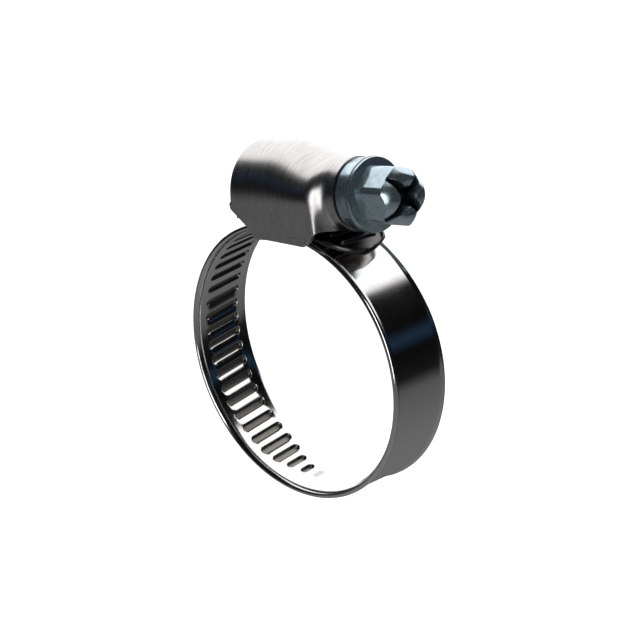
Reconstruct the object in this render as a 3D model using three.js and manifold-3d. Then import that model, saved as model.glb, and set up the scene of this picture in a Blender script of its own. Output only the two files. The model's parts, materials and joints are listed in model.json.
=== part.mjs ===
// Worm-drive hose clamp. Millimetres, +Z up.
// The origin is the centre of the hose. +Y runs along the hose, +Z points through the housing
// and +X runs along the screw towards its head.
import * as THREE from 'three';
import { mergeVertices } from 'three/addons/utils/BufferGeometryUtils.js';
import Module from 'manifold-3d';

// Band strip
const hoseRadius = 16.75;      // inside of the ring
const bandWidth = 9;
const bandThickness = 0.7;
const edgeTurn = 0.38;         // how far both edges turn outwards
const edgeWidth = 0.9;         // how much of each edge turns
const layerGap = 0.3;          // between the two layers under the screw
const tailBendRadius = 24;     // the tail is straighter than the ring
const tailPlain = 1.3;         // plain strip after the last rib
const endRadius = 3.9;

// Links that stand for the bending strip
const smoothLinks = 6;
const ribbedLinks = 7;
const ribsPerLink = 4;
const ribsInTail = 6;
const plainRibPlaces = 3;      // the first ribbed link starts with plain strip
const linkGap = 0.1;
const stepAngle = 4.6;         // degrees of bend in one facet of the strip

// Pressed ribs: a pocket inside and the same rib outside
const ribPitch = 2;
const ribWidth = 1.1;
const ribLength = 5.6;
const ribHeight = 0.4;
const ribBevel = 0.2;
const pocketDepth = 0.42;
const ribFoot = 0.03;          // sunk into the strip

// Screw
const threadRadius = 3.2;
const threadBite = 0.3;        // how deep the thread reaches between the ribs
const threadDepth = 0.85;
const crestWidth = 0.35;
const flankWidth = 0.4;
const threadRowsPerTurn = 6;
const roundSegments = 24;
const tipRadius = 1.8;
const tipInset = 0.1;          // the tip ends inside the rear wall's hole
const grooveRadius = 2.9;
const journalRadius = 3.45;
const collarRadius = 4.6;
const collarLength = 2.1;
const flangeRadius = 4.77;
const flangeThickness = 0.6;
const hexAcrossFlats = 7;
const hexLength = 5.8;
const hexTurn = 36.6;          // degrees from +Y to the first corner
const headChamfer = 0.9;
const slotWidth = 1.1;
const slotDepth = 1.5;
const recessRadius = 1.25;
const recessDepth = 2.0;

// Housing
const wall = 0.9;
const archHeight = 6.35;       // above the screw's axis
const neckWall = 0.92;
const rearX = -4.5;
const topFallStart = 0.5;      // where the roof starts down to the neck
const topFallEnd = 9;
const sideStepStart = 9.3;     // where the sides step in to the neck
const sideStepEnd = 11.4;
const neckEndX = 12.5;
const neckLip = 0.9;           // inward lip that holds the screw in its groove
const runningGap = 0.3;
const archSteps = 16;
const archSegments = 9;
const rearClearance = 0.55;    // from the passing ribs up to the rear wall
const edgeChamfer = 0.15;
// Lower edge of the side walls: x and depth below the screw's axis
const sideEdge = [[-1.95, 3.2], [-1, 4.7], [1.15, 4.7], [7.65, 5.3], [9.9, 3.5]];
const rearEdgeDepth = 0.9;
const frontEdgeDepth = 2.4;

// Anchored end of the band
const anchorStart = -12;       // degrees from +Z towards +X
const anchorEnd = 26.8;
const earX = 4.9;
const earLength = 3.4;
const earThickness = 0.6;
const earGap = 0.25;           // from the passing strip to the ear
const earWallGap = 0.1;        // from the ear to the housing's wall
const earRise = 1.4;           // above the ring's middle line
const earCorner = 0.5;
const dotRadius = 0.45;
const dotX = 6.1;
const dotRise = 0.3;
const dotProud = 0.05;
const dotHoleGap = 0.12;

// Worked out from the sizes above
const ringRadius = hoseRadius + bandThickness / 2;
const layerStep = bandThickness + layerGap;
const ribbedRadius = ringRadius + layerStep / 2;
const stripTop = ringRadius + layerStep + bandThickness / 2;
const screwZ = stripTop + ribHeight - threadBite + threadRadius;
const ribSlant = Math.atan(ribPitch / (2 * Math.PI * (threadRadius - threadBite / 2)));
const ribbedLength = ribsPerLink * ribPitch;
const bottomAngle = 2 * Math.PI - ribbedLinks * ribbedLength / ribbedRadius;
const anchorEndAngle = THREE.MathUtils.degToRad(anchorEnd);
const anchorStartAngle = THREE.MathUtils.degToRad(anchorStart);
const smoothLength = (bottomAngle - anchorEndAngle) * ringRadius / smoothLinks;
const tailLength = ribsInTail * ribPitch + tailPlain;
const lipStartX = sideStepEnd - neckLip - runningGap;
const collarX = neckEndX + runningGap;
const flangeX = collarX + collarLength;
const hexX = flangeX + flangeThickness;
const headEndX = hexX + hexLength;
const archHalfWidth = bandWidth / 2 + earGap + earThickness + earWallGap + wall;
const neckRadius = journalRadius + runningGap + neckWall;
const rearWallHeight = stripTop + ribHeight + rearClearance;
const earTopZ = ringRadius + earRise;
const dotZ = ringRadius + dotRise;
const weld = 0.2;              // how far joined shapes reach into each other

const steel = new THREE.MeshStandardMaterial({ color: 0xb9bcc0, roughness: 0.28, metalness: 1 });
const housingSteel = new THREE.MeshStandardMaterial({ color: 0xa9abaf, roughness: 0.35, metalness: 1 });
const zinc = new THREE.MeshStandardMaterial({ color: 0x8d9aa6, roughness: 0.3, metalness: 1 });

const wasm = await Module();
wasm.setup();

function solid(geometry) {
  const bare = geometry.clone();
  bare.deleteAttribute('normal');
  bare.deleteAttribute('uv');
  const merged = mergeVertices(bare, 1e-5);
  return new wasm.Manifold(new wasm.Mesh({
    numProp: 3,
    vertProperties: new Float32Array(merged.attributes.position.array),
    triVerts: new Uint32Array(merged.index.array),
  }));
}

function geometryOf(manifold) {
  const { vertProperties, triVerts } = manifold.getMesh();
  const geometry = new THREE.BufferGeometry();
  geometry.setAttribute('position', new THREE.BufferAttribute(new Float32Array(vertProperties), 3));
  geometry.setIndex(new THREE.BufferAttribute(new Uint32Array(triVerts), 1));
  geometry.computeVertexNormals();
  return geometry;
}

function polygon(points) {
  return new THREE.Shape(points.map(([x, y]) => new THREE.Vector2(x, y)));
}

// A flat outline in X and Z, given a thickness along Y.
function plateXZ(outline, yFrom, yTo) {
  const geometry = new THREE.ExtrudeGeometry(outline, { depth: yTo - yFrom, bevelEnabled: false });
  geometry.rotateX(Math.PI / 2);
  geometry.translate(0, yTo, 0);
  return solid(geometry);
}

function box(xFrom, xTo, yFrom, yTo, zFrom, zTo) {
  const geometry = new THREE.BoxGeometry(xTo - xFrom, yTo - yFrom, zTo - zFrom);
  geometry.translate((xFrom + xTo) / 2, (yFrom + yTo) / 2, (zFrom + zTo) / 2);
  return solid(geometry);
}

// A round solid on the screw's axis from [x, radius] points; the ends close on the axis.
function roundAlongX(points) {
  const profile = [[points[0][0], 0], ...points, [points.at(-1)[0], 0]];
  const geometry = new THREE.LatheGeometry(
    profile.map(([x, radius]) => new THREE.Vector2(radius, x)), roundSegments);
  geometry.rotateZ(-Math.PI / 2);
  return geometry;
}

// The strip's middle line: it starts at the origin along +X and bends towards -Z.
class BendCurve extends THREE.Curve {
  constructor(radius, from, to) {
    super();
    Object.assign(this, { radius, from, to });
  }

  getPoint(t, target = new THREE.Vector3()) {
    const angle = (this.from + (this.to - this.from) * t) / this.radius;
    return target.set(this.radius * Math.sin(angle), 0, this.radius * (Math.cos(angle) - 1));
  }
}

// A section of [y, outward] points carried along the bend.
function bentBar(section, radius, from, to) {
  const steps = Math.max(1, Math.ceil(THREE.MathUtils.radToDeg((to - from) / radius) / stepAngle));
  const geometry = new THREE.ExtrudeGeometry(
    polygon(section.map(([y, outward]) => [-y, -outward])),
    { steps, bevelEnabled: false, extrudePath: new BendCurve(radius, from, to) });
  return solid(geometry);
}

function bandSection() {
  const half = bandWidth / 2;
  const flat = half - edgeWidth;
  const outside = bandThickness / 2;
  const lip = [[flat, 0], [half - edgeWidth / 3, edgeTurn * 0.55], [half, edgeTurn]];
  const upper = [...lip.map(([y, rise]) => [-y, rise]).reverse(), ...lip];
  const lower = [...upper].reverse();
  return [
    ...upper.map(([y, rise]) => [y, rise + outside]),
    ...lower.map(([y, rise]) => [y, rise - outside]),
  ];
}

// A slanted outline with round ends, as long and wide as a rib.
function ribOutline() {
  const reach = (ribLength - ribWidth) / 2;
  const outline = new THREE.Shape();
  outline.absarc(0, reach, ribWidth / 2, 0, Math.PI);
  outline.absarc(0, -reach, ribWidth / 2, Math.PI, 2 * Math.PI);
  return outline;
}

function ribPrism(options, bottom) {
  const geometry = new THREE.ExtrudeGeometry(ribOutline(), { curveSegments: 2, ...options });
  geometry.translate(0, 0, bottom);
  geometry.rotateZ(-ribSlant);
  return solid(geometry);
}

function placeOnBend(shape, radius, arc) {
  const angle = arc / radius;
  const turned = shape.rotate([0, THREE.MathUtils.radToDeg(angle), 0]);
  return turned.translate([radius * Math.sin(angle), 0, radius * (Math.cos(angle) - 1)]);
}

function pressRibs(strip, radius, ribArcs) {
  const outside = bandThickness / 2;
  const pocket = ribPrism({ depth: pocketDepth + 1, bevelEnabled: false }, -outside - 1);
  const rib = ribPrism({
    depth: ribHeight - ribBevel + ribFoot,
    bevelEnabled: true,
    bevelThickness: ribBevel,
    bevelSize: ribBevel,
    bevelOffset: -ribBevel,
    bevelSegments: 1,
  }, outside - ribFoot);
  let pressed = strip;
  for (const arc of ribArcs) {
    pressed = pressed.subtract(placeOnBend(pocket, radius, arc));
  }
  for (const arc of ribArcs) {
    pressed = pressed.add(placeOnBend(rib, radius, arc));
  }
  return pressed;
}

// The tail's tongue: straight sides and two large round corners.
function tongueOutline(length) {
  const half = bandWidth / 2 + 1;
  const outline = new THREE.Shape();
  outline.moveTo(-1, -half);
  outline.lineTo(length - endRadius, -half);
  outline.lineTo(length - endRadius, -bandWidth / 2);
  outline.absarc(length - endRadius, endRadius - bandWidth / 2, endRadius, -Math.PI / 2, 0);
  outline.absarc(length - endRadius, bandWidth / 2 - endRadius, endRadius, 0, Math.PI / 2);
  outline.lineTo(length - endRadius, half);
  outline.lineTo(-1, half);
  return outline;
}

function makeLink({ radius, length, ribs, isEnd }) {
  const strip = bentBar(bandSection(), radius, linkGap / 2, isEnd ? length : length - linkGap / 2);
  const ribbed = pressRibs(strip, radius, ribs);
  if (!isEnd) {
    return ribbed;
  }
  const tongue = new THREE.ExtrudeGeometry(
    tongueOutline(radius * Math.sin(length / radius)),
    { depth: radius, bevelEnabled: false, curveSegments: 7 });
  tongue.translate(0, 0, -radius / 2);
  return ribbed.intersect(solid(tongue));
}

function ribPlaces(count, skipped = 0) {
  return Array.from({ length: count - skipped }, (unused, i) => (i + skipped + 0.5) * ribPitch);
}

function linkList() {
  const smooth = Array.from({ length: smoothLinks }, () => (
    { radius: ringRadius, length: smoothLength, ribs: [] }));
  const ribbed = Array.from({ length: ribbedLinks }, (unused, i) => ({
    radius: ribbedRadius,
    length: ribbedLength,
    ribs: ribPlaces(ribsPerLink, i === 0 ? plainRibPlaces : 0),
  }));
  const tail = {
    name: 'band_tail',
    radius: tailBendRadius,
    length: tailLength,
    ribs: ribPlaces(ribsInTail),
    isEnd: true,
  };
  return [...smooth, ...ribbed, tail];
}

// The anchored end: strip, two ears folded up beside the passing strip and a pressed dot on each.
function makeAnchor() {
  const start = anchorStartAngle * ringRadius;
  const end = anchorEndAngle * ringRadius - linkGap / 2;
  const earInside = bandWidth / 2 + earGap;
  const earOutside = earInside + earThickness;
  const outside = bandThickness / 2;
  const earMiddle = Math.asin(earX / ringRadius) * ringRadius;
  let anchor = bentBar(bandSection(), ringRadius, start, end);
  for (const side of [-1, 1]) {
    const ys = [side * (bandWidth / 2 - edgeWidth), side * earOutside];
    const fold = [[Math.min(...ys), -outside], [Math.max(...ys), -outside],
      [Math.max(...ys), outside], [Math.min(...ys), outside]];
    anchor = anchor.add(bentBar(fold, ringRadius, earMiddle - earLength / 2, earMiddle + earLength / 2));
  }
  anchor = anchor.translate([0, 0, ringRadius]);
  const low = ringRadius * Math.cos(anchorEndAngle / 2);
  const rear = earX - earLength / 2 + weld;
  const front = earX + earLength / 2 - 2 * weld;
  const plate = polygon([[rear, low], [front, low - 1], [front, earTopZ - earCorner],
    [front - earCorner, earTopZ], [rear + earCorner, earTopZ], [rear, earTopZ - earCorner]]);
  const dotFrom = earInside + weld;
  const dotTo = archHalfWidth + dotProud;
  const dot = new THREE.CylinderGeometry(dotRadius, dotRadius, dotTo - dotFrom, 10);
  dot.translate(dotX, (dotTo + dotFrom) / 2, dotZ);
  const dotSolid = solid(dot);
  anchor = anchor.add(plateXZ(plate, earInside, earOutside)).add(plateXZ(plate, -earOutside, -earInside));
  return anchor.add(dotSolid).add(dotSolid.mirror([0, 1, 0]));
}

function halfWidthAt(x) {
  const share = THREE.MathUtils.smoothstep(x, sideStepStart, sideStepEnd);
  return THREE.MathUtils.lerp(archHalfWidth, neckRadius, share);
}

function topHeightAt(x) {
  const share = THREE.MathUtils.smoothstep(x, topFallStart, topFallEnd);
  return THREE.MathUtils.lerp(archHeight, neckRadius, share);
}

// A round-topped block along X whose width and height follow the housing, less an inset.
function archBlock(xFrom, xTo, inset, depthBelow) {
  const outline = new THREE.Shape();
  outline.moveTo(-1, -depthBelow);
  outline.lineTo(1, -depthBelow);
  outline.absarc(0, 0, 1, 0, Math.PI);
  const geometry = new THREE.ExtrudeGeometry(outline, {
    depth: xTo - xFrom,
    steps: archSteps,
    bevelEnabled: false,
    curveSegments: archSegments,
  });
  const position = geometry.attributes.position;
  for (let i = 0; i < position.count; i += 1) {
    const x = xFrom + position.getZ(i);
    const rise = position.getY(i);
    const height = rise > 0 ? rise * (topHeightAt(x) - inset) : rise;
    position.setXYZ(i, x, position.getX(i) * (halfWidthAt(x) - inset), height);
  }
  return solid(geometry).translate([0, 0, screwZ]);
}

function onScrewAxis(points) {
  return solid(roundAlongX(points)).translate([0, 0, screwZ]);
}

// Side view of the walls: the rear corner is cut away and the front rises to the neck.
function housingSideOutline() {
  const lower = [[rearX, rearEdgeDepth], ...sideEdge, [sideStepEnd, frontEdgeDepth]];
  const top = screwZ + archHeight + 1;
  return polygon([
    [rearX, top], ...lower.map(([x, depth]) => [x, screwZ - depth]), [sideStepEnd, top],
  ]);
}

function makeHousing() {
  const below = screwZ - hoseRadius + 2;
  const side = plateXZ(housingSideOutline(), -archHalfWidth - 1, archHalfWidth + 1);
  const shell = archBlock(rearX, sideStepEnd, 0, below).intersect(side);
  const neck = onScrewAxis([[lipStartX, neckRadius], [neckEndX - edgeChamfer, neckRadius],
    [neckEndX, neckRadius - edgeChamfer]]);
  const cavity = archBlock(rearX + wall, lipStartX, wall, below + 1);
  const inside = archHalfWidth - wall;
  const bandWay = box(rearX - 1, rearX + wall + 1, -inside, inside, ringRadius / 2, rearWallHeight);
  const roundCut = (from, to, radius) => onScrewAxis([[from, radius], [to, radius]]);
  const tipHole = roundCut(rearX - 1, rearX + wall + 1, tipRadius + runningGap);
  const lipBore = roundCut(lipStartX - 1, neckEndX, grooveRadius + runningGap);
  const bore = roundCut(lipStartX + neckLip, neckEndX + 1, journalRadius + runningGap);
  const holeRadius = dotRadius + dotHoleGap;
  const dotHole = new THREE.CylinderGeometry(holeRadius, holeRadius, 4 * archHalfWidth, 12);
  dotHole.translate(dotX, 0, dotZ);
  let housing = shell.add(neck);
  for (const cut of [cavity, bandWay, tipHole, lipBore, bore, solid(dotHole)]) {
    housing = housing.subtract(cut);
  }
  return housing;
}

// Right-hand thread: the crest passes straight below the axis at x = 0.
function threadHeight(x, angle) {
  const turns = x / ribPitch - (angle + Math.PI / 2) / (2 * Math.PI);
  const fromCrest = Math.abs(turns - Math.round(turns)) * ribPitch;
  return threadDepth * (1 - THREE.MathUtils.clamp((fromCrest - crestWidth / 2) / flankWidth, 0, 1));
}

function threadedShank(xFrom, xTo) {
  const coreRadius = threadRadius - threadDepth;
  const rows = Math.round((xTo - xFrom) / ribPitch * threadRowsPerTurn);
  const points = Array.from(
    { length: rows + 1 }, (unused, i) => [xFrom + (xTo - xFrom) * i / rows, coreRadius]);
  const geometry = roundAlongX(points);
  const position = geometry.attributes.position;
  for (let i = 0; i < position.count; i += 1) {
    const [x, y, z] = [position.getX(i), position.getY(i), position.getZ(i)];
    const isOnShank = Math.hypot(y, z) > coreRadius / 2;
    const fade = THREE.MathUtils.clamp(Math.min(x - xFrom, xTo - x) / (ribPitch / 2), 0, 1);
    const stretch = isOnShank ? 1 + fade * threadHeight(x, Math.atan2(z, y)) / coreRadius : 1;
    position.setXYZ(i, x, y * stretch, z * stretch);
  }
  return solid(geometry);
}

function makeHead() {
  const toCorner = hexAcrossFlats / Math.sqrt(3);
  const hex = new THREE.CylinderGeometry(toCorner, toCorner, hexLength + weld, 6);
  hex.rotateZ(-Math.PI / 2);
  hex.translate((hexX - weld + headEndX) / 2, 0, 0);
  const corner = toCorner + edgeChamfer;
  const chamfer = solid(roundAlongX([[hexX - 1, corner], [headEndX - headChamfer, corner],
    [headEndX, corner - headChamfer]]));
  // CylinderGeometry starts its corners at +Z once it lies along X.
  const turned = solid(hex).rotate([hexTurn - 90, 0, 0]).intersect(chamfer);
  const slot = box(headEndX - slotDepth, headEndX + 1, -hexAcrossFlats, hexAcrossFlats,
    -slotWidth / 2, slotWidth / 2);
  const recess = solid(roundAlongX([[headEndX - recessDepth, recessRadius * 0.4],
    [headEndX + 0.5, recessRadius * 1.3]]));
  return turned
    .subtract(slot.rotate([hexTurn, 0, 0]))
    .subtract(slot.rotate([hexTurn + 90, 0, 0]))
    .subtract(recess);
}

function makeScrew() {
  const coreRadius = threadRadius - threadDepth;
  const threadFrom = rearX + wall + runningGap;
  const threadTo = lipStartX - 2 * runningGap;
  const tipX = rearX + tipInset;
  const journalX = lipStartX + neckLip + runningGap;
  const tip = solid(roundAlongX([[tipX, tipRadius - edgeChamfer], [tipX + edgeChamfer, tipRadius],
    [threadFrom + weld, tipRadius]]));
  const groove = solid(roundAlongX([[threadTo - weld, coreRadius], [threadTo + weld, grooveRadius],
    [journalX, grooveRadius], [journalX, journalRadius], [collarX, journalRadius],
    [collarX, collarRadius - edgeChamfer], [collarX + edgeChamfer, collarRadius],
    [flangeX, collarRadius], [flangeX, flangeRadius - edgeChamfer],
    [flangeX + edgeChamfer, flangeRadius], [hexX - edgeChamfer, flangeRadius],
    [hexX, flangeRadius - edgeChamfer]]));
  return threadedShank(threadFrom, threadTo).add(tip).add(groove).add(makeHead());
}

function namedMesh(name, manifold, material) {
  const mesh = new THREE.Mesh(geometryOf(manifold), material);
  mesh.name = name;
  return mesh;
}

const clamp = new THREE.Group();
clamp.add(namedMesh('housing', makeHousing(), housingSteel));
clamp.add(namedMesh('band_anchor', makeAnchor(), steel));

const screw = namedMesh('screw', makeScrew(), zinc);
screw.position.z = screwZ;
clamp.add(screw);

// Each link hangs on the end of the one before it, as the hinges do.
let place = new THREE.Group();
place.position.set(ringRadius * Math.sin(anchorEndAngle), 0, ringRadius * Math.cos(anchorEndAngle));
place.rotation.y = anchorEndAngle;
clamp.add(place);
linkList().forEach((link, i) => {
  const name = link.name ?? `band_link_${String(i + 1).padStart(2, '0')}`;
  place.add(namedMesh(name, makeLink(link), steel));
  const next = new THREE.Group();
  const bend = link.length / link.radius;
  next.position.set(link.radius * Math.sin(bend), 0, link.radius * (Math.cos(bend) - 1));
  next.rotation.y = bend;
  place.add(next);
  place = next;
});

export default clamp;
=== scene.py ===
import json
import math
import bpy
import numpy as np
from mathutils import Matrix, Vector


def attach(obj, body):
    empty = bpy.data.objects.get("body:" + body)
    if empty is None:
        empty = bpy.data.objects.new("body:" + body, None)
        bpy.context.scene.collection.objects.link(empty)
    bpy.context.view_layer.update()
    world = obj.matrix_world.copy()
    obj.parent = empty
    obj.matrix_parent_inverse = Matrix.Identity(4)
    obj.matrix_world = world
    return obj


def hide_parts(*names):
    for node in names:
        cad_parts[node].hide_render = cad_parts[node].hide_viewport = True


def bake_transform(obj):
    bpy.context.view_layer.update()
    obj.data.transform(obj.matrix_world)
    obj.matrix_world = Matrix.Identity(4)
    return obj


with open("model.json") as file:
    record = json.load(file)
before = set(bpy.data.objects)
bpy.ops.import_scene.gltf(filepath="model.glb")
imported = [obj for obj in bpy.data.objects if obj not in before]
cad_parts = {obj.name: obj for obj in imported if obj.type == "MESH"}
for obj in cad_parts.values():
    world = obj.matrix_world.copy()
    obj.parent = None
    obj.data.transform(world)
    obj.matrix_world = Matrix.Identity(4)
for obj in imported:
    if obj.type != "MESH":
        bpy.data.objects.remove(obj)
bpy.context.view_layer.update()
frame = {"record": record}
mm = 0.001
scene = bpy.context.scene
joints = {joint["name"]: joint for joint in frame["record"]["behaviour"]["joints"]}
screwZ = joints["screw_turn"]["pos_m"][2] / mm
print("frame loaded, screw axis at", round(screwZ, 3), "mm")


def smooth(value, low, high):
    # 0 below low, 1 above high, and 3t^2 - 2t^3 in between
    t = np.clip((value - low) / (high - low), 0, 1)
    return t * t * (3 - 2 * t)


def gridFaces(rows, columns, closeColumns):
    # Quads between the points of a grid, row by row; the last column may join the first
    r = np.arange(rows - 1)[:, None]
    c = np.arange(columns if closeColumns else columns - 1)[None, :]
    following = (c + 1) % columns
    quads = np.stack(np.broadcast_arrays(
        r * columns + c, r * columns + following,
        (r + 1) * columns + following, (r + 1) * columns + c), -1)
    return quads.reshape(-1, 4)


def newObject(name, vertices, faces, material):
    mesh = bpy.data.meshes.new(name)
    mesh.from_pydata((np.asarray(vertices) * mm).tolist(), [], faces)
    mesh.polygons.foreach_set("use_smooth", np.ones(len(mesh.polygons), bool))
    mesh.materials.append(material)
    piece = bpy.data.objects.new(name, mesh)
    scene.collection.objects.link(piece)
    return piece


def closedTube(name, points, material, sharp=None):
    # Rings of points joined in a row; each end ring is closed by one many-sided face
    rows, columns = points.shape[:2]
    faces = gridFaces(rows, columns, True).tolist()
    faces.append(list(range(columns))[::-1])
    faces.append(list(range((rows - 1) * columns, rows * columns)))
    piece = newObject(name, points.reshape(-1, 3), faces, material)
    if sharp:
        piece.data.set_sharp_from_angle(angle=math.radians(sharp))
    return piece


def spun(name, rows, radii, turn, columns, material, sharp=30):
    # Rings about the screw's axis: x and radius are arrays of one row, or of rows by columns
    angle = np.linspace(0, 2 * math.pi, columns, endpoint=False) + turn
    x = np.broadcast_to(np.asarray(rows, float).reshape(len(rows), -1), (len(rows), columns))
    r = np.broadcast_to(np.asarray(radii, float).reshape(len(rows), -1), (len(rows), columns))
    points = np.stack([x, r * np.cos(angle), screwZ + r * np.sin(angle)], -1)
    return closedTube(name, points, material, sharp)


def nodeTree(name):
    material = bpy.data.materials.new(name)
    material.use_nodes = True
    tree = material.node_tree
    return material, tree, tree.nodes["Principled BSDF"]


def addNode(tree, kind, **values):
    node = tree.nodes.new(kind)
    for key, value in values.items():
        if key in node.inputs:
            node.inputs[key].default_value = value
        else:
            setattr(node, key, value)
    return node


def ramp(tree, source, stops):
    node = tree.nodes.new("ShaderNodeValToRGB")
    while len(node.color_ramp.elements) < len(stops):
        node.color_ramp.elements.new(0.5)
    for element, (place, colour) in zip(node.color_ramp.elements, stops):
        element.position = place
        element.color = (*colour, 1) if len(colour) == 3 else colour
    tree.links.new(source, node.inputs[0])
    return node


def grey(level):
    return (level, level, level)


stripFinish = {
    "colour": (0.66, 0.655, 0.65),
    # painted shade: the darker colour of the pocket floors
    "pocketShadeColour": (0.30, 0.285, 0.26),
    "roughness": 0.13,
    "pocketRoughness": 0.5,
    "grainLength": 0.25,
    "grainWidth": 14.0,
    "grainBump": 0.05,
}


def bandSteel():
    # Bright rolled strip: fine grain along the strip, duller in the pressed pockets, and painted shade that
    # darkens the pockets, their walls most, and the tail's outside
    material, tree, shader = nodeTree("band_steel")
    uv = addNode(tree, "ShaderNodeUVMap", uv_map="strip")
    stretch = addNode(tree, "ShaderNodeMapping",
                      Scale=(stripFinish["grainLength"], stripFinish["grainWidth"], 1))
    tree.links.new(uv.outputs[0], stretch.inputs[0])
    grain = addNode(tree, "ShaderNodeTexNoise", Scale=1.0, Detail=5.0, Roughness=0.65)
    tree.links.new(stretch.outputs[0], grain.inputs["Vector"])
    cloud = addNode(tree, "ShaderNodeTexNoise", Scale=0.35, Detail=3.0)
    tree.links.new(uv.outputs[0], cloud.inputs["Vector"])
    pressedAndShade = addNode(tree, "ShaderNodeAttribute", attribute_name="pressedAndShade")
    # Painted shade: near black across the pockets' walls and on the tail's outside, dark grey on the pocket
    # floors
    tint = ramp(tree, pressedAndShade.outputs["Fac"], [
        (0.0, stripFinish["colour"]), (0.35, (0.10, 0.10, 0.10)),
        (0.7, (0.16, 0.15, 0.14)), (1.0, stripFinish["pocketShadeColour"])])
    tree.links.new(tint.outputs[0], shader.inputs["Base Color"])
    rough = addNode(tree, "ShaderNodeMapRange")
    rough.inputs["To Min"].default_value = stripFinish["roughness"] - 0.05
    rough.inputs["To Max"].default_value = stripFinish["roughness"] + 0.07
    tree.links.new(cloud.outputs[0], rough.inputs["Value"])
    dull = addNode(tree, "ShaderNodeMath", operation="MULTIPLY_ADD")
    dull.inputs[1].default_value = stripFinish["pocketRoughness"] - stripFinish["roughness"]
    tree.links.new(pressedAndShade.outputs["Fac"], dull.inputs[0])
    tree.links.new(rough.outputs[0], dull.inputs[2])
    tree.links.new(dull.outputs[0], shader.inputs["Roughness"])
    bump = addNode(tree, "ShaderNodeBump", Strength=stripFinish["grainBump"], Distance=0.00005)
    tree.links.new(grain.outputs[0], bump.inputs["Height"])
    tree.links.new(bump.outputs[0], shader.inputs["Normal"])
    shader.inputs["Metallic"].default_value = 1.0
    return material


housingFinish = {
    "colour": (0.60, 0.595, 0.59),
    "darkStreak": (0.26, 0.255, 0.25),
    "roughness": 0.27,
    "brushAcross": 15000.0,
    "brushAlong": 330.0,
    "brushBump": 0.05,
}


def housingSteel():
    # Stamped sheet with fine upright brushing
    material, tree, shader = nodeTree("housing_steel")
    place = addNode(tree, "ShaderNodeTexCoord")
    stretch = addNode(tree, "ShaderNodeMapping", Scale=(
        housingFinish["brushAcross"], housingFinish["brushAlong"], housingFinish["brushAlong"]))
    tree.links.new(place.outputs["Object"], stretch.inputs[0])
    brush = addNode(tree, "ShaderNodeTexNoise", Scale=1.0, Detail=4.0, Roughness=0.7)
    tree.links.new(stretch.outputs[0], brush.inputs["Vector"])
    tint = ramp(tree, brush.outputs[0], [(0.3, housingFinish["darkStreak"]),
                                         (0.55, housingFinish["colour"])])
    tree.links.new(tint.outputs[0], shader.inputs["Base Color"])
    rough = addNode(tree, "ShaderNodeMapRange")
    rough.inputs["To Min"].default_value = housingFinish["roughness"] - 0.05
    rough.inputs["To Max"].default_value = housingFinish["roughness"] + 0.10
    tree.links.new(brush.outputs[0], rough.inputs["Value"])
    tree.links.new(rough.outputs[0], shader.inputs["Roughness"])
    bump = addNode(tree, "ShaderNodeBump", Strength=housingFinish["brushBump"], Distance=0.00005)
    tree.links.new(brush.outputs[0], bump.inputs["Height"])
    tree.links.new(bump.outputs[0], shader.inputs["Normal"])
    shader.inputs["Metallic"].default_value = 1.0
    return material


zincFinish = {
    "colour": (0.46, 0.55, 0.60),
    "shade": (0.32, 0.41, 0.46),
    "hollowShade": (0.012, 0.014, 0.017),     # painted shade in the slots and the recess
    "metallic": 0.94,
    "roughness": 0.16,
    "spots": 900.0,
    "ripple": 420.0,
    "rippleBump": 0.12,
}


def zincPlate():
    # Bright blue-grey plating over a cold-headed screw: a faint ripple, small dull spots and painted shade
    # in the slots and the recess
    material, tree, shader = nodeTree("zinc_screw")
    place = addNode(tree, "ShaderNodeTexCoord")
    ripple = addNode(tree, "ShaderNodeTexNoise", Scale=zincFinish["ripple"], Detail=4.0)
    spots = addNode(tree, "ShaderNodeTexNoise", Scale=zincFinish["spots"], Detail=2.0)
    tree.links.new(place.outputs["Object"], ripple.inputs["Vector"])
    tree.links.new(place.outputs["Object"], spots.inputs["Vector"])
    tint = ramp(tree, ripple.outputs[0], [(0.3, zincFinish["shade"]), (0.65, zincFinish["colour"])])
    # Painted shade: the slots and the recess are mixed towards near black
    hollowShade = addNode(tree, "ShaderNodeAttribute", attribute_name="hollowShade")
    hollowShadeMix = addNode(tree, "ShaderNodeMix", data_type="RGBA")
    hollowShadeMix.inputs["B"].default_value = (*zincFinish["hollowShade"], 1)
    tree.links.new(hollowShade.outputs["Fac"], hollowShadeMix.inputs["Factor"])
    tree.links.new(tint.outputs[0], hollowShadeMix.inputs["A"])
    tree.links.new(hollowShadeMix.outputs["Result"], shader.inputs["Base Color"])
    rough = addNode(tree, "ShaderNodeMapRange")
    rough.inputs["From Min"].default_value = 0.35
    rough.inputs["From Max"].default_value = 0.75
    rough.inputs["To Min"].default_value = zincFinish["roughness"] - 0.04
    rough.inputs["To Max"].default_value = zincFinish["roughness"] + 0.16
    tree.links.new(spots.outputs[0], rough.inputs["Value"])
    tree.links.new(rough.outputs[0], shader.inputs["Roughness"])
    bump = addNode(tree, "ShaderNodeBump", Strength=zincFinish["rippleBump"], Distance=0.0001)
    tree.links.new(ripple.outputs[0], bump.inputs["Height"])
    tree.links.new(bump.outputs[0], shader.inputs["Normal"])
    shader.inputs["Metallic"].default_value = zincFinish["metallic"]
    return material


steelStrip = bandSteel()
steelHousing = housingSteel()
zinc = zincPlate()
print("materials made")


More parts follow.
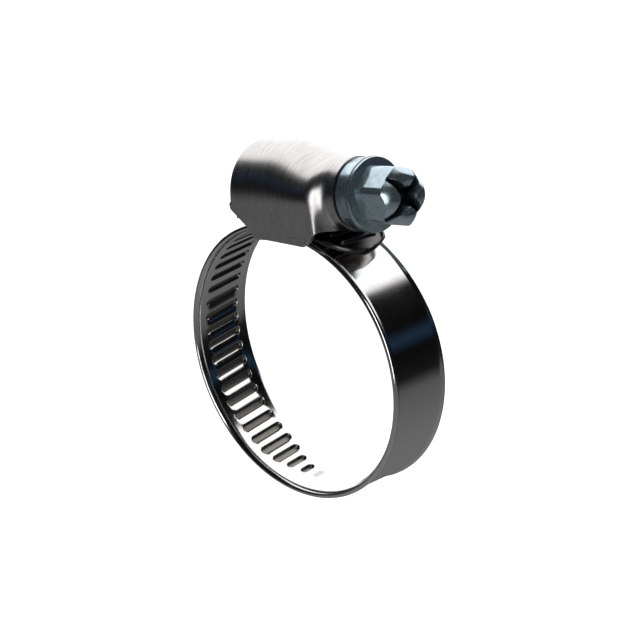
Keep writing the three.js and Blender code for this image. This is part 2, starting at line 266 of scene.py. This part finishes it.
band = {
    "hoseRadius": 16.75,
    "width": 9.0,
    "thickness": 0.7,
    "edgeTurn": 0.30,       # how far both edges turn outwards
    "edgeWidth": 0.6,
    "edgeCurve": 1.6,       # power of the turn's rise
    "edgeRound": 0.2,
    "layerStep": 1.0,       # from the anchored layer to the layer above it
    "tailRadius": 24.0,
    "tailDullAndShade": 0.45,       # the tail's outside is duller and darkened with painted shade
    "tailDullAndShadeFrom": (1.5, 4.5),
    "tailPlain": 1.3,
    "endRadius": 3.9,
    "smoothLinks": 6,
    "ribbedLinks": 7,
    "linkLength": 8.0,
    "anchorFrom": -12.0,    # degrees from +Z towards +X
    "anchorTo": 26.8,
    "acrossSteps": 64,
    "edgeSteps": 6,
    "smoothStep": 0.4,
    "ribbedStep": 0.0667,
    "blendReach": 3.1,      # points on the strip's middle line are found this far to both sides of each hinge
}
ribs = {
    "pitch": 2.0,
    "width": 1.1,
    "length": 5.6,
    "wallShare": 0.08,      # half of what a pocket's walls take from its width
    "height": 0.40,
    "depth": 0.42,
    "insideWall": 0.13,     # how far a pocket's wall spreads on the inside
    "outsideWall": 0.3,
    "slantFrom": (-58.0, -53.0),    # the strip's stations turn with the ribs here
    "threadRadius": 3.2,
    "threadBite": 0.3,
    "count": 31,
    "firstFromTop": -49.0,  # middle of the first full rib, counted from under the screw
    "faintDepth": 0.14,     # the mark before the first rib, as a share of a full one
    "landLift": -0.05,      # a land starts a little proud inwards
    "landDrop": 0.34,       # and curves outwards by this much at its far side
    "leanEnds": (-24.0, -18.0),     # no lean where the thread can come
    "grownAfter": 3.0,      # the first ribs are shorter, growing over this many
    "firstShare": 0.36,
}
ringRadius = band["hoseRadius"] + band["thickness"] / 2
ribbedRadius = ringRadius + band["layerStep"] / 2
anchorFrom, anchorTo = np.radians([band["anchorFrom"], band["anchorTo"]])
bottomAngle = 2 * math.pi - band["ribbedLinks"] * band["linkLength"] / ribbedRadius
anchorLength = (anchorTo - anchorFrom) * ringRadius
smoothLength = (bottomAngle - anchorTo) * ringRadius / band["smoothLinks"]
tailLength = 6 * ribs["pitch"] + band["tailPlain"]
ribSlant = ribs["pitch"] / (2 * math.pi * (ribs["threadRadius"] - ribs["threadBite"] / 2))

arcLengths = np.array([anchorLength] + [smoothLength] * band["smoothLinks"]
                      + [band["linkLength"]] * band["ribbedLinks"] + [tailLength])
arcRadii = np.array([ringRadius] * (1 + band["smoothLinks"])
                    + [ribbedRadius] * band["ribbedLinks"] + [band["tailRadius"]])
arcStarts = np.concatenate([[0], np.cumsum(arcLengths)])
arcHeadings = anchorFrom + np.concatenate([[0], np.cumsum(arcLengths / arcRadii)])[:-1]
bandLength = arcStarts[-1]
topArc = bandLength - tailLength        # straight under the screw


def arcCentres():
    # Each arc starts where the one before it ends, with the same heading
    point = ringRadius * np.array([math.sin(anchorFrom), math.cos(anchorFrom)])
    centres = []
    for length, radius, heading in zip(arcLengths, arcRadii, arcHeadings):
        out = np.array([math.sin(heading), math.cos(heading)])
        centres.append(point - radius * out)
        turned = heading + length / radius
        point = centres[-1] + radius * np.array([math.sin(turned), math.cos(turned)])
    return np.array(centres)


centresXZ = arcCentres()


def onStrip(arc, across, outward):
    # Point at an arc length on the strip's middle line, a distance across and a distance outwards
    index = np.clip(np.searchsorted(arcStarts, arc, side="right") - 1, 0, len(arcRadii) - 1)
    turned = arcHeadings[index] + (arc - arcStarts[index]) / arcRadii[index]
    reach = arcRadii[index] + outward
    return np.stack([centresXZ[index, 0] + reach * np.sin(turned), across,
                     centresXZ[index, 1] + reach * np.cos(turned)], -1)


def pressedForm(arc, across, soften):
    # Share of the full press at a point (1 on a rib's middle, 0 between ribs) and the lean of the
    # land between two ribs. A rib is a capsule; soften spreads its wall
    steps = np.round((arc - topArc - ribs["firstFromTop"]) / ribs["pitch"])
    along = arc - topArc - ribs["firstFromTop"] - steps * ribs["pitch"]
    half = ribs["width"] / 2 - ribs["wallShare"]
    grown = ribs["firstShare"] + (1 - ribs["firstShare"]) * smooth(steps, -0.5, ribs["grownAfter"])
    reach = np.maximum(np.abs(across) - (ribs["length"] / 2 * grown - half), 0)
    wallDistance = np.hypot(along, reach) - half
    strength = np.where((steps >= 0) & (steps < ribs["count"]), 1.0, 0.0)
    strength = np.where(steps == -1, ribs["faintDepth"], strength)
    press = strength * smooth(-wallDistance, -soften * 0.4, soften)
    landShare = (np.where(along > 0, along, along + ribs["pitch"]) - half) / (ribs["pitch"] - 2 * half)
    between = np.where(along > 0, (steps >= 0) & (steps < ribs["count"] - 1),
                       (steps > 0) & (steps < ribs["count"]))
    edge = ribs["length"] / 2 * grown
    fullLength = smooth(grown, ribs["firstShare"] + 0.2, 1)
    window = fullLength * (1 - smooth(np.abs(across), edge - 0.75, edge + 0.1))
    between = between * (1 - smooth(arc - topArc, *ribs["leanEnds"]))
    lean = between * window * (ribs["landLift"] + ribs["landDrop"] * np.clip(landShare, 0, 1) ** 2)
    return press, lean


def stripLoop():
    # Section of the strip as one closed loop: distance across, which face (1 outside, -1 inside,
    # less on the edge) and how far the rounded edge stands out from it
    half = band["width"] / 2 - band["edgeRound"]
    across = np.linspace(-half, half, band["acrossSteps"])
    edge = np.linspace(math.pi / 2, -math.pi / 2, band["edgeSteps"] + 2)[1:-1]
    ends = np.full_like(edge, half)
    acrossLoop = np.concatenate([across, ends, across[::-1], -ends])
    face = np.concatenate([np.ones_like(across), np.sin(edge), -np.ones_like(across), -np.sin(edge)])
    past = np.concatenate([0 * across, np.cos(edge), 0 * across, np.cos(edge)]) * band["edgeRound"]
    return acrossLoop, face, past


def tongueWidth(arc):
    # Half the strip's width: full, then two large round corners at the tail's end
    past = np.clip(arc - (bandLength - band["endRadius"]), 0, band["endRadius"])
    corner = np.sqrt(np.maximum(band["endRadius"] ** 2 - past ** 2, 0))
    return band["width"] / 2 - band["endRadius"] + corner


def stripSurface(stations):
    # The whole strip as a grid: stations along it by points round its section. Stations slant
    # with the ribs where there are ribs. Returns points, normals, the pressed share with the tail's painted
    # shade, and UV
    acrossLoop, face, past = stripLoop()
    slant = ribSlant * smooth(stations - topArc, *ribs["slantFrom"]) * (
        1 - smooth(stations, bandLength - band["tailPlain"], bandLength))
    half = band["width"] / 2 - band["edgeRound"]
    turned = np.clip((np.abs(acrossLoop) - half + band["edgeWidth"]) / band["edgeWidth"], 0, 1)
    turn = band["edgeTurn"] * turned ** band["edgeCurve"]
    steepest = band["edgeTurn"] / band["edgeWidth"] * band["edgeCurve"]
    lean = np.arctan(steepest * turned ** (band["edgeCurve"] - 1))
    aside = past * np.cos(lean) - face * band["thickness"] / 2 * np.sin(lean)
    rise = turn + past * np.sin(lean) + face * band["thickness"] / 2 * np.cos(lean)
    share = tongueWidth(stations)[:, None] / (band["width"] / 2)
    across = np.sign(acrossLoop) * (np.abs(acrossLoop) * share + aside)
    arc = stations[:, None] + slant[:, None] * across
    level = np.broadcast_to(stations[:, None], across.shape)
    pressIn, slope = pressedForm(level, across, ribs["insideWall"])
    pressOut = pressedForm(level, across, ribs["outsideWall"])[0]
    inside, outside = face < -0.999, face > 0.999
    form = np.where(inside, slope * (1 - pressIn) + ribs["depth"] * pressIn,
                    np.where(outside, slope * (1 - pressOut) + ribs["height"] * pressOut, 0))
    outward = rise[None, :] + form
    points = onStrip(arc, across, outward)
    alongStrip = np.gradient(points, axis=0)
    roundSection = np.roll(points, -1, 1) - np.roll(points, 1, 1)
    normals = np.cross(alongStrip, roundSection)
    normals /= np.maximum(np.linalg.norm(normals, axis=-1, keepdims=True), 1e-12)
    # Painted shade on the tail's outside under the screw head; the same value also makes it rougher
    dull = band["tailDullAndShade"] * smooth(level - topArc, *band["tailDullAndShadeFrom"])
    pressedAndShade = np.where(inside, pressIn, dull)
    return points, normals, pressedAndShade, np.stack([arc, across], -1)


def stripPiece(name, surface, first, last):
    # Stations first to last as a closed piece, with exact normals so that no joint shows
    points, normals, pressedAndShade, uv = (part[first:last + 1] for part in surface)
    rows, columns = points.shape[:2]
    count = rows * columns
    faces = gridFaces(rows, columns, True)[:, ::-1].tolist()
    faces.append(list(range(count, count + columns)))
    faces.append(list(range(count + columns, count + 2 * columns))[::-1])
    vertices = np.concatenate([points.reshape(-1, 3), points[0], points[-1]])
    piece = newObject(name, vertices, faces, steelStrip)
    alongStart = points[0].mean(0) - points[1].mean(0)
    alongEnd = points[-1].mean(0) - points[-2].mean(0)
    capNormals = np.repeat([alongStart / np.linalg.norm(alongStart), alongEnd / np.linalg.norm(alongEnd)],
                           columns, axis=0)
    piece.data.normals_split_custom_set_from_vertices(
        np.concatenate([normals.reshape(-1, 3), capNormals]).tolist())
    # Carries the press share on the inside and the tail's painted shade on the outside
    share = piece.data.attributes.new("pressedAndShade", "FLOAT", "POINT")
    values = np.concatenate([pressedAndShade.ravel(), np.zeros(2 * columns)])
    share.data.foreach_set("value", values.astype(np.float32))
    corner = np.zeros(len(piece.data.loops), np.int32)
    piece.data.loops.foreach_get("vertex_index", corner)
    places = np.concatenate([uv.reshape(-1, 2), uv[0], uv[-1]])
    layer = piece.data.uv_layers.new(name="strip")
    layer.data.foreach_set("uv", places[corner].astype(np.float32).ravel())
    return piece


linkCount = band["smoothLinks"] + band["ribbedLinks"]
middles = (arcStarts[:-1] + arcStarts[1:]) / 2
seams = np.concatenate([[0, arcStarts[1] - smoothLength / 2], middles[1:-1], [bandLength]])


def makeBand():
    # One fixed piece, a piece over each hinge, and the tail
    stations, cuts = [], [0]
    for start, end in zip(seams[:-1], seams[1:]):
        step = band["ribbedStep"] if end > topArc - 54 else band["smoothStep"]
        steps = max(2, int(round((end - start) / step)))
        span = np.linspace(start, end, steps + 1)
        if end == bandLength:                       # closer stations round the tongue's end
            share = np.linspace(0, 1, steps + 1)
            span = np.where(share < 0.8, span, span[int(0.8 * steps)] + (end - span[int(0.8 * steps)])
                            * np.sin(np.clip((share - 0.8) / 0.2, 0, 1) * math.pi / 2))
            span = np.unique(np.round(span, 9))
            span[-1] = end - 1e-3
        stations.extend(span if not stations else span[1:])
        cuts.append(len(stations) - 1)
    surface = stripSurface(np.array(stations))
    for k in range(len(cuts) - 1):
        if k == 0:
            piece = stripPiece("bandFixedEnd", surface, cuts[k], cuts[k + 1])
            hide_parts("band_anchor")
            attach(piece, "root")
        elif k <= linkCount:
            piece = stripPiece(f"bandBend{k:02d}", surface, cuts[k], cuts[k + 1])
            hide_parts(f"band_link_{k:02d}")
            hinge = arcStarts[k]
            middle = np.array(0.0)
            start, end = (onStrip(np.array(hinge + side * band["blendReach"]), middle, middle) * mm
                          for side in (-1, 1))
            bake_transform(piece)
        else:
            piece = stripPiece("bandTail", surface, cuts[k], cuts[k + 1])
            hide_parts("band_tail")
            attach(piece, "band_end")


makeBand()
print("band made,", round(bandLength, 1), "mm long")


housing = {
    "wall": 0.9,
    "halfWidth": 6.35,
    "topHeight": 6.35,
    "neckRadius": 4.67,
    "rearX": -4.5,
    "roofFall": (0.5, 9.0),
    "sideStep": (9.0, 11.5),
    "neckEndX": 12.5,
    "seamGap": 2.0,         # degrees left open under the neck
    "rearRoll": 0.7,
    "edgeRound": 0.13,
    "archRows": 40,
    "lowerRows": 26,
    "stationsAlong": 120,
}
sideLine = {                # lower edge of the side walls: x, height above the hose's centre
    "x": (-4.5, -1.95, -1.0, 1.15, 7.65, 9.9, 11.4),
    "z": (20.85, 18.55, 17.05, 17.05, 16.45, 18.25, 19.35),
}


def housingSection(x, inset):
    # Half the sheet's section at each x, from the ridge down to the lower edge: an elliptic arch,
    # then a straight wall that turns into the lower half of the neck's circle towards the front
    wide, tall, neck = housing["halfWidth"], housing["topHeight"], housing["neckRadius"]
    width = wide + (neck - wide) * smooth(x, *housing["sideStep"])
    height = tall + (neck - tall) * smooth(x, *housing["roofFall"])
    width, height = width[:, None] - inset, height[:, None] - inset
    arch = np.linspace(0, math.pi / 2, housing["archRows"])[None, :]
    upperY, upperZ = width * np.sin(arch), height * np.cos(arch)
    share = np.linspace(0, 1, housing["lowerRows"] + 1)[None, 1:]
    drop = screwZ - np.interp(x, sideLine["x"], sideLine["z"])[:, None]
    around = math.pi / 2 + share * (math.pi / 2 - math.radians(housing["seamGap"]))
    closing = smooth(x, 9.6, 11.6)[:, None]
    reach = 1 - 0.55 * (1 - smooth(x, 9.6, 11.3))[:, None]
    circleY = width[:, -1:] * np.sin(math.pi / 2 + (around - math.pi / 2) * reach)
    circleZ = width[:, -1:] * np.cos(math.pi / 2 + (around - math.pi / 2) * reach)
    lowerY = (1 - closing) * width[:, -1:] + closing * circleY
    lowerZ = (1 - closing) * (-drop * share) + closing * circleZ
    return np.hstack([upperY, lowerY]), np.hstack([upperZ, lowerZ])


def makeShell():
    # The outer face as a grid of stations by section points, both halves; Solidify gives the wall
    roll = np.linspace(0, math.pi / 2, 7)[:-1]
    rolledX = housing["rearX"] + housing["rearRoll"] * (1 - np.cos(roll))
    straightX = np.linspace(housing["rearX"] + housing["rearRoll"], housing["neckEndX"],
                            housing["stationsAlong"])
    x = np.concatenate([rolledX, straightX])
    insets = np.concatenate([housing["rearRoll"] * (1 - np.sin(roll)), np.zeros_like(straightX)])
    points = housing["archRows"] + housing["lowerRows"]
    fadeDown = 1 - smooth(np.arange(points), housing["archRows"] - 6, housing["archRows"] + 5)
    plainY, plainZ = housingSection(x, 0.0)
    archLength = np.hypot(plainY, plainZ)
    scale = 1 - insets[:, None] * fadeDown[None, :] / archLength
    halfY, halfZ = plainY * scale, plainZ * scale
    y = np.hstack([-halfY[:, ::-1], halfY[:, 1:]])
    z = np.hstack([halfZ[:, ::-1], halfZ[:, 1:]]) + screwZ
    grid = np.stack([np.broadcast_to(x[:, None], y.shape), y, z], -1)
    rows, columns = y.shape
    faces = gridFaces(rows, columns, False)[:, ::-1].tolist()
    shell = newObject("housingShell", grid.reshape(-1, 3), faces, steelHousing)
    wall = shell.modifiers.new("wall", "SOLIDIFY")
    wall.thickness = housing["wall"] * mm
    wall.offset = -1
    wall.use_even_offset = True
    edge = shell.modifiers.new("edge", "BEVEL")
    edge.width = housing["edgeRound"] * mm
    edge.segments = 3
    edge.limit_method = "ANGLE"
    edge.angle_limit = math.radians(50)
    edge.harden_normals = False
    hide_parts("housing")
    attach(shell, "root")
    return shell


rearWall = {
    "inset": 0.75,          # outline inside the shell's outer face
    "floorZ": 19.4,
    "thickness": 0.9,
    "holeRadius": 2.1,
    "edgeBend": 0.25,
    "proud": 0.02,          # how far it stands in from the housing's rear end
    "columns": 96,
}


def makeRearWall():
    # A plate that closes the arch at the rear, from the hole for the tip out to the rolled edge
    columns, hole, bend = rearWall["columns"], rearWall["holeRadius"], rearWall["edgeBend"]
    angle = np.linspace(0, 2 * math.pi, columns, endpoint=False)
    side = housing["halfWidth"] - rearWall["inset"]
    top = housing["topHeight"] - rearWall["inset"]
    floor = screwZ - rearWall["floorZ"]
    ellipse = 1 / np.hypot(np.cos(angle) / side, np.sin(angle) / top)
    straight = side / np.maximum(np.abs(np.cos(angle)), 1e-6)
    lower = np.minimum(straight, floor / np.maximum(-np.sin(angle), 1e-6))
    outline = np.where(np.sin(angle) >= 0, ellipse, lower)
    deep = rearWall["thickness"]
    rings = []
    for x, reach in ((deep, outline), (bend * 0.3, outline), (0.05, outline - 0.1), (0.0, outline - bend),
                     (0.0, np.full(columns, hole + 0.2)), (0.06, np.full(columns, hole + 0.06)),
                     (0.2, np.full(columns, hole)), (deep, np.full(columns, hole))):
        rings.append(np.stack([np.full(columns, housing["rearX"] + rearWall["proud"] + x),
                               reach * np.cos(angle), screwZ + reach * np.sin(angle)], -1))
    grid = np.stack(rings)
    rows = len(grid)
    faces = gridFaces(rows, columns, True)
    closing = gridFaces(2, columns, True)
    closing = np.where(closing >= columns, closing - columns, closing + (rows - 1) * columns)
    plate = newObject("housingRearWall", grid.reshape(-1, 3),
                      np.concatenate([faces, closing]).tolist(), steelHousing)
    plate.data.set_sharp_from_angle(angle=math.radians(40))
    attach(plate, "root")


makeShell()
makeRearWall()


clinch = {
    "x": 6.1,
    "z": 17.4,
    "radius": 0.5,
    "rise": 0.12,
    "sunk": 0.08,           # below the wall's outer face
    "root": 0.3,            # how deep its foot goes into the wall
    "rings": 8,
    "columns": 24,
}


def makeClinch():
    # Two small pressed dots in the side walls, half a flattened ball each
    rings = np.linspace(0, math.pi / 2, clinch["rings"])
    angle = np.linspace(0, 2 * math.pi, clinch["columns"], endpoint=False)
    for name, side in (("clinchDotNear", -1), ("clinchDotFar", 1)):
        radius = clinch["radius"] * np.sin(np.maximum(rings, 0.05))
        y = side * (housing["halfWidth"] - clinch["sunk"] + clinch["rise"] * np.cos(rings))
        dome = np.stack([clinch["x"] + radius[:, None] * np.cos(angle) * side,
                         np.broadcast_to(y[:, None], (len(rings), len(angle))),
                         clinch["z"] + radius[:, None] * np.sin(angle)], -1)
        base = dome[-1:] - np.array([0, side * clinch["root"], 0])
        dot = closedTube(name, np.concatenate([dome, base])[::-1], steelHousing, 60)
        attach(dot, "root")


makeClinch()
print("housing made")


screw = {
    "tipX": -4.4,
    "tipRadius": 1.8,
    "threadFrom": -3.3,
    "threadTo": 9.6,
    "threadRadius": 3.2,
    "threadDepth": 0.85,
    "crestWidth": 0.35,
    "flankWidth": 0.4,
    "grooveRadius": 2.9,
    "journalFrom": 11.4,
    "journalRadius": 3.45,
    "collarFrom": 12.8,
    "collarRadius": 4.6,
    "flangeFrom": 14.9,
    "flangeRadius": 4.77,
    "hexFrom": 15.5,
    "headEnd": 21.3,
    "acrossFlats": 7.0,
    "hexTurn": 36.6,        # degrees from +Y to the first corner
    "cornerRound": 0.20,
    "slotWidth": 1.1,
    "slotTaper": 0.45,      # share of the slots' width lost towards the rim
    "slotDepth": 1.5,
    "rimFall": 1.3,         # how far the end falls away towards a circle through the corners
    "lobePlace": 1.9,       # middle of each lobe, from both slots' middle lines
    "lobeDome": 0.5,
    "recessRadius": 1.25,
    "recessDepth": 2.0,
    "columns": 144,
    "headColumns": 480,
}


def makeShank():
    # Round stretches as [x, radius] points and the thread as a helical ridge on the core
    core = screw["threadRadius"] - screw["threadDepth"]
    threadX = np.linspace(screw["threadFrom"], screw["threadTo"], 120)
    angle = np.linspace(0, 2 * math.pi, screw["columns"], endpoint=False)
    turns = threadX[:, None] / ribs["pitch"] - (angle[None, :] + math.pi / 2) / (2 * math.pi)
    fromCrest = np.abs(turns - np.round(turns)) * ribs["pitch"]
    fade = smooth(np.minimum(threadX - screw["threadFrom"], screw["threadTo"] - threadX), 0, 1)[:, None]
    ridge = 1 - smooth(fromCrest, screw["crestWidth"] / 2, screw["crestWidth"] / 2 + screw["flankWidth"])
    threadR = core + fade * screw["threadDepth"] * ridge
    before = [(screw["tipX"], 0.02), (screw["tipX"], screw["tipRadius"] - 0.25),
              (screw["tipX"] + 0.08, screw["tipRadius"] - 0.08), (screw["tipX"] + 0.25, screw["tipRadius"]),
              (screw["threadFrom"] - 0.02, screw["tipRadius"])]
    c, f, h = screw["collarFrom"], screw["flangeFrom"], screw["hexFrom"]
    after = [(screw["threadTo"] + 0.3, screw["grooveRadius"]),
             (screw["journalFrom"], screw["grooveRadius"]),
             (screw["journalFrom"] + 0.05, screw["journalRadius"]), (c, screw["journalRadius"]),
             (c + 0.02, screw["collarRadius"] - 0.2), (c + 0.08, screw["collarRadius"] - 0.07),
             (c + 0.22, screw["collarRadius"]), (f - 0.18, screw["collarRadius"]),
             (f - 0.06, screw["collarRadius"] + 0.05), (f, screw["collarRadius"] + 0.2),
             (f + 0.02, screw["flangeRadius"] - 0.22), (f + 0.08, screw["flangeRadius"] - 0.08),
             (f + 0.22, screw["flangeRadius"]), (h - 0.2, screw["flangeRadius"]),
             (h - 0.07, screw["flangeRadius"] - 0.07), (h, screw["flangeRadius"] - 0.22), (h, 0.02)]
    rowsX = np.concatenate([[x for x, _ in before], threadX, [x for x, _ in after]])
    plain = lambda rows: np.repeat([[r] for _, r in rows], screw["columns"], axis=1)
    radii = np.concatenate([plain(before), threadR, plain(after)])
    shank = spun("screwShank", rowsX, radii, 0.0, screw["columns"], zinc, 35)
    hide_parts("screw")
    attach(shank, "screw")


def hexReach(angle):
    # Distance from the axis to a hexagon's face at each angle, with its corners cut round
    step = math.pi / 3
    local = (angle - math.radians(screw["hexTurn"]) + step / 2) % step - step / 2
    fromFlat = step / 2 - np.abs(local)
    flat = screw["acrossFlats"] / 2 / np.cos(fromFlat)
    corner = screw["acrossFlats"] / math.sqrt(3) - screw["cornerRound"]
    sharpness = 22      # of the smooth minimum of the two
    return -np.log(np.exp(-flat * sharpness) + np.exp(-corner * sharpness)) / sharpness


def slotAxes(y, z):
    # Distances from the middle lines of the two slots, which are square to each other
    turn = math.radians(screw["hexTurn"])
    return y * math.sin(turn) - z * math.cos(turn), y * math.cos(turn) + z * math.sin(turn)


def slotShare(y, z):
    # 1 on the slots' floors and 0 on the lobes; both slots get narrower towards the rim
    across, along = slotAxes(y, z)
    half = screw["slotWidth"] / 2 * (1 - screw["slotTaper"] * smooth(np.hypot(y, z), 1.6, 3.4))
    nearest = np.minimum(np.abs(across), np.abs(along))
    return 1 - smooth(nearest, half - 0.12, half + 0.22)


def endHeight(y, z):
    # How far the head's end lies below its highest point: domed lobes, two crossing slots with
    # rounded shoulders and a round recess
    across, along = slotAxes(y, z)
    radius = np.hypot(y, z)
    depth = (screw["slotDepth"] * (1 - 0.35 * smooth(radius, 1.8, 3.6))
             + 0.55 * smooth(radius, 2.4, 4.2))
    slots = depth * slotShare(y, z)
    opening = screw["recessRadius"]
    recess = screw["recessDepth"] * (1 - smooth(radius, opening * 0.45, opening * 1.25))
    lobe = screw["rimFall"] * smooth(radius, 1.9, 4.5) ** 1.4
    place = screw["lobePlace"]
    middle = np.hypot(np.abs(across) - place, np.abs(along) - place)
    dome = screw["lobeDome"] * np.clip(middle / place, 0, 1.3) ** 2
    return np.maximum(np.maximum(slots, recess), lobe + dome)


def makeHead():
    # Hexagon side as rows up to the end's own height at the rim, then rows in over the end face
    angle = np.linspace(0, 2 * math.pi, screw["headColumns"], endpoint=False)
    reach = hexReach(angle)
    rimDrop = endHeight(reach * np.cos(angle), reach * np.sin(angle))
    rimX = screw["headEnd"] - rimDrop
    sideShare = np.array([0, 0.1, 0.25, 0.4, 0.55, 0.7, 0.82, 0.92, 0.97, 1.0])
    sideX = screw["hexFrom"] - 0.05 + sideShare[:, None] * (rimX - screw["hexFrom"] + 0.05)[None, :]
    endShare = np.concatenate([np.linspace(0.995, 0.9, 8), np.linspace(0.885, 0.01, 62)])
    endReach = endShare[:, None] * reach[None, :]
    endX = screw["headEnd"] - endHeight(endReach * np.cos(angle), endReach * np.sin(angle))
    x = np.concatenate([np.full((1, len(angle)), screw["hexFrom"] - 0.05), sideX, endX])
    sides = np.repeat(reach[None, :], len(sideShare), 0)
    radii = np.concatenate([reach[None, :] * 0.02, sides, endReach])
    head = spun("screwHead", x, radii, 0.0, screw["headColumns"], zinc, 40)
    # Painted shade over the slots' floors and the recess of the end face
    inner = np.maximum(slotShare(endReach * np.cos(angle), endReach * np.sin(angle)),
                       1 - smooth(endReach, 0.8, 1.7))
    hollowShade = np.concatenate([np.zeros((len(x) - len(endX), len(angle))), inner])
    share = head.data.attributes.new("hollowShade", "FLOAT", "POINT")
    share.data.foreach_set("value", hollowShade.ravel().astype(np.float32))
    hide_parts("screw")
    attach(head, "screw")


makeShank()
makeHead()
print("screw made")


studio = {
    "azimuth": 47.59,
    "elevation": 14.39,
    "roll": -10.27,
    "distance": 0.65,
    "fieldWidth": 0.0808,   # metres seen across the picture at the hose's centre
    "aimRight": 0.00008,
    "aimUp": 0.00438,
    "floorZ": -0.06,
    "floorSize": 4.0,
    "backdropAim": (-0.35, 0.65, 0.675),    # middle of the white canopy behind and over the clamp
    "backdropEdge": (0.63, 0.68),
    "groundTilt": (0.17, 0.16, 1.0),        # height used for the belt and the ground
    "canopy": 0.95,
    "roomStrength": 1.7,
    "belt": [(0.00, grey(0.15)), (0.24, grey(0.10)), (0.36, grey(0.075)), (0.425, grey(0.006)),
             (0.58, grey(0.002)), (0.64, (0.010, 0.023, 0.042)), (0.70, grey(0.002)),
             (0.97, grey(0.003)), (1.00, grey(0.3))],
    "overhead": {"direction": (0.1, -0.2, 1.0), "distance": 1.2,
                 "width": 1.6, "height": 1.6, "power": 22},
    "sideStrip": {"direction": (0.62, -0.76, 0.12), "distance": 1.4,
                  "width": 0.30, "height": 1.3, "power": 5},
}


def makeCamera():
    # A long lens turned about its own axis by the roll
    data = bpy.data.cameras.new("camera")
    data.sensor_width = 36
    data.lens = 36 * studio["distance"] / studio["fieldWidth"]
    data.clip_start, data.clip_end = 0.05, 20
    camera = bpy.data.objects.new("camera", data)
    scene.collection.objects.link(camera)
    a, e, roll = (math.radians(studio[key]) for key in ("azimuth", "elevation", "roll"))
    back = Vector((math.sin(a) * math.cos(e), -math.cos(a) * math.cos(e), math.sin(e)))
    level = Vector((math.cos(a), math.sin(a), 0))
    rise = back.cross(level)
    right = level * math.cos(roll) + rise * math.sin(roll)
    up = rise * math.cos(roll) - level * math.sin(roll)
    place = right * studio["aimRight"] + up * studio["aimUp"] + back * studio["distance"]
    camera.matrix_world = Matrix((
        (right.x, up.x, back.x, place.x), (right.y, up.y, back.y, place.y),
        (right.z, up.z, back.z, place.z), (0, 0, 0, 1)))
    scene.camera = camera


def makeRoom():
    # A white canopy behind and over the clamp, a dark belt and a grey ground; the camera sees white
    world = bpy.data.worlds.new("room")
    world.use_nodes = True
    scene.world = world
    tree = world.node_tree
    background = tree.nodes["Background"]
    place = addNode(tree, "ShaderNodeTexCoord")
    parts = addNode(tree, "ShaderNodeVectorMath", operation="DOT_PRODUCT")
    parts.inputs[1].default_value = studio["groundTilt"]
    tree.links.new(place.outputs["Generated"], parts.inputs[0])
    height = addNode(tree, "ShaderNodeMapRange")
    height.inputs["From Min"].default_value = -1.0
    tree.links.new(parts.outputs["Value"], height.inputs["Value"])
    belt = ramp(tree, height.outputs[0], studio["belt"])
    aim = addNode(tree, "ShaderNodeVectorMath", operation="DOT_PRODUCT")
    aim.inputs[1].default_value = studio["backdropAim"]
    tree.links.new(place.outputs["Generated"], aim.inputs[0])
    inside = addNode(tree, "ShaderNodeMapRange", interpolation_type="SMOOTHSTEP")
    inside.inputs["From Min"].default_value = studio["backdropEdge"][0]
    inside.inputs["From Max"].default_value = studio["backdropEdge"][1]
    tree.links.new(aim.outputs["Value"], inside.inputs["Value"])
    both = addNode(tree, "ShaderNodeMix", data_type="RGBA")
    both.inputs["B"].default_value = (*grey(studio["canopy"]), 1)
    tree.links.new(inside.outputs[0], both.inputs["Factor"])
    tree.links.new(belt.outputs[0], both.inputs["A"])
    plain = addNode(tree, "ShaderNodeBackground")
    plain.inputs["Color"].default_value = (1, 1, 1, 1)
    plain.inputs["Strength"].default_value = 1.0
    background.inputs["Strength"].default_value = studio["roomStrength"]
    tree.links.new(both.outputs["Result"], background.inputs["Color"])
    seen = addNode(tree, "ShaderNodeLightPath")
    mix = addNode(tree, "ShaderNodeMixShader")
    tree.links.new(seen.outputs["Is Camera Ray"], mix.inputs[0])
    tree.links.new(background.outputs[0], mix.inputs[1])
    tree.links.new(plain.outputs[0], mix.inputs[2])
    tree.links.new(mix.outputs[0], tree.nodes["World Output"].inputs[0])


def makeFloor():
    size, level = studio["floorSize"], studio["floorZ"]
    mesh = bpy.data.meshes.new("floor")
    corners = [(-size, -size, level), (size, -size, level), (size, size, level), (-size, size, level)]
    mesh.from_pydata(corners, [], [(0, 1, 2, 3)])
    floor = bpy.data.objects.new("floor", mesh)
    scene.collection.objects.link(floor)
    material, tree, shader = nodeTree("pale_floor")
    shader.inputs["Base Color"].default_value = (0.93, 0.93, 0.93, 1)
    shader.inputs["Roughness"].default_value = 0.9
    mesh.materials.append(material)
    floor.visible_glossy = False


def makeLight(name, direction, distance, width, height, power, showsInGloss=True):
    data = bpy.data.lights.new(name, "AREA")
    data.shape = "RECTANGLE"
    data.size, data.size_y = width, height
    data.energy = power
    lamp = bpy.data.objects.new(name, data)
    scene.collection.objects.link(lamp)
    away = Vector(direction).normalized()
    lamp.location = away * distance
    lamp.rotation_mode = "QUATERNION"
    lamp.rotation_quaternion = away.to_track_quat("Z", "Y")
    lamp.visible_camera = False
    lamp.visible_glossy = showsInGloss


makeCamera()
makeRoom()
makeFloor()
makeLight("overhead", **studio["overhead"], showsInGloss=False)
makeLight("sideStrip", **studio["sideStrip"])
scene.view_settings.view_transform = "Standard"
print("studio made")
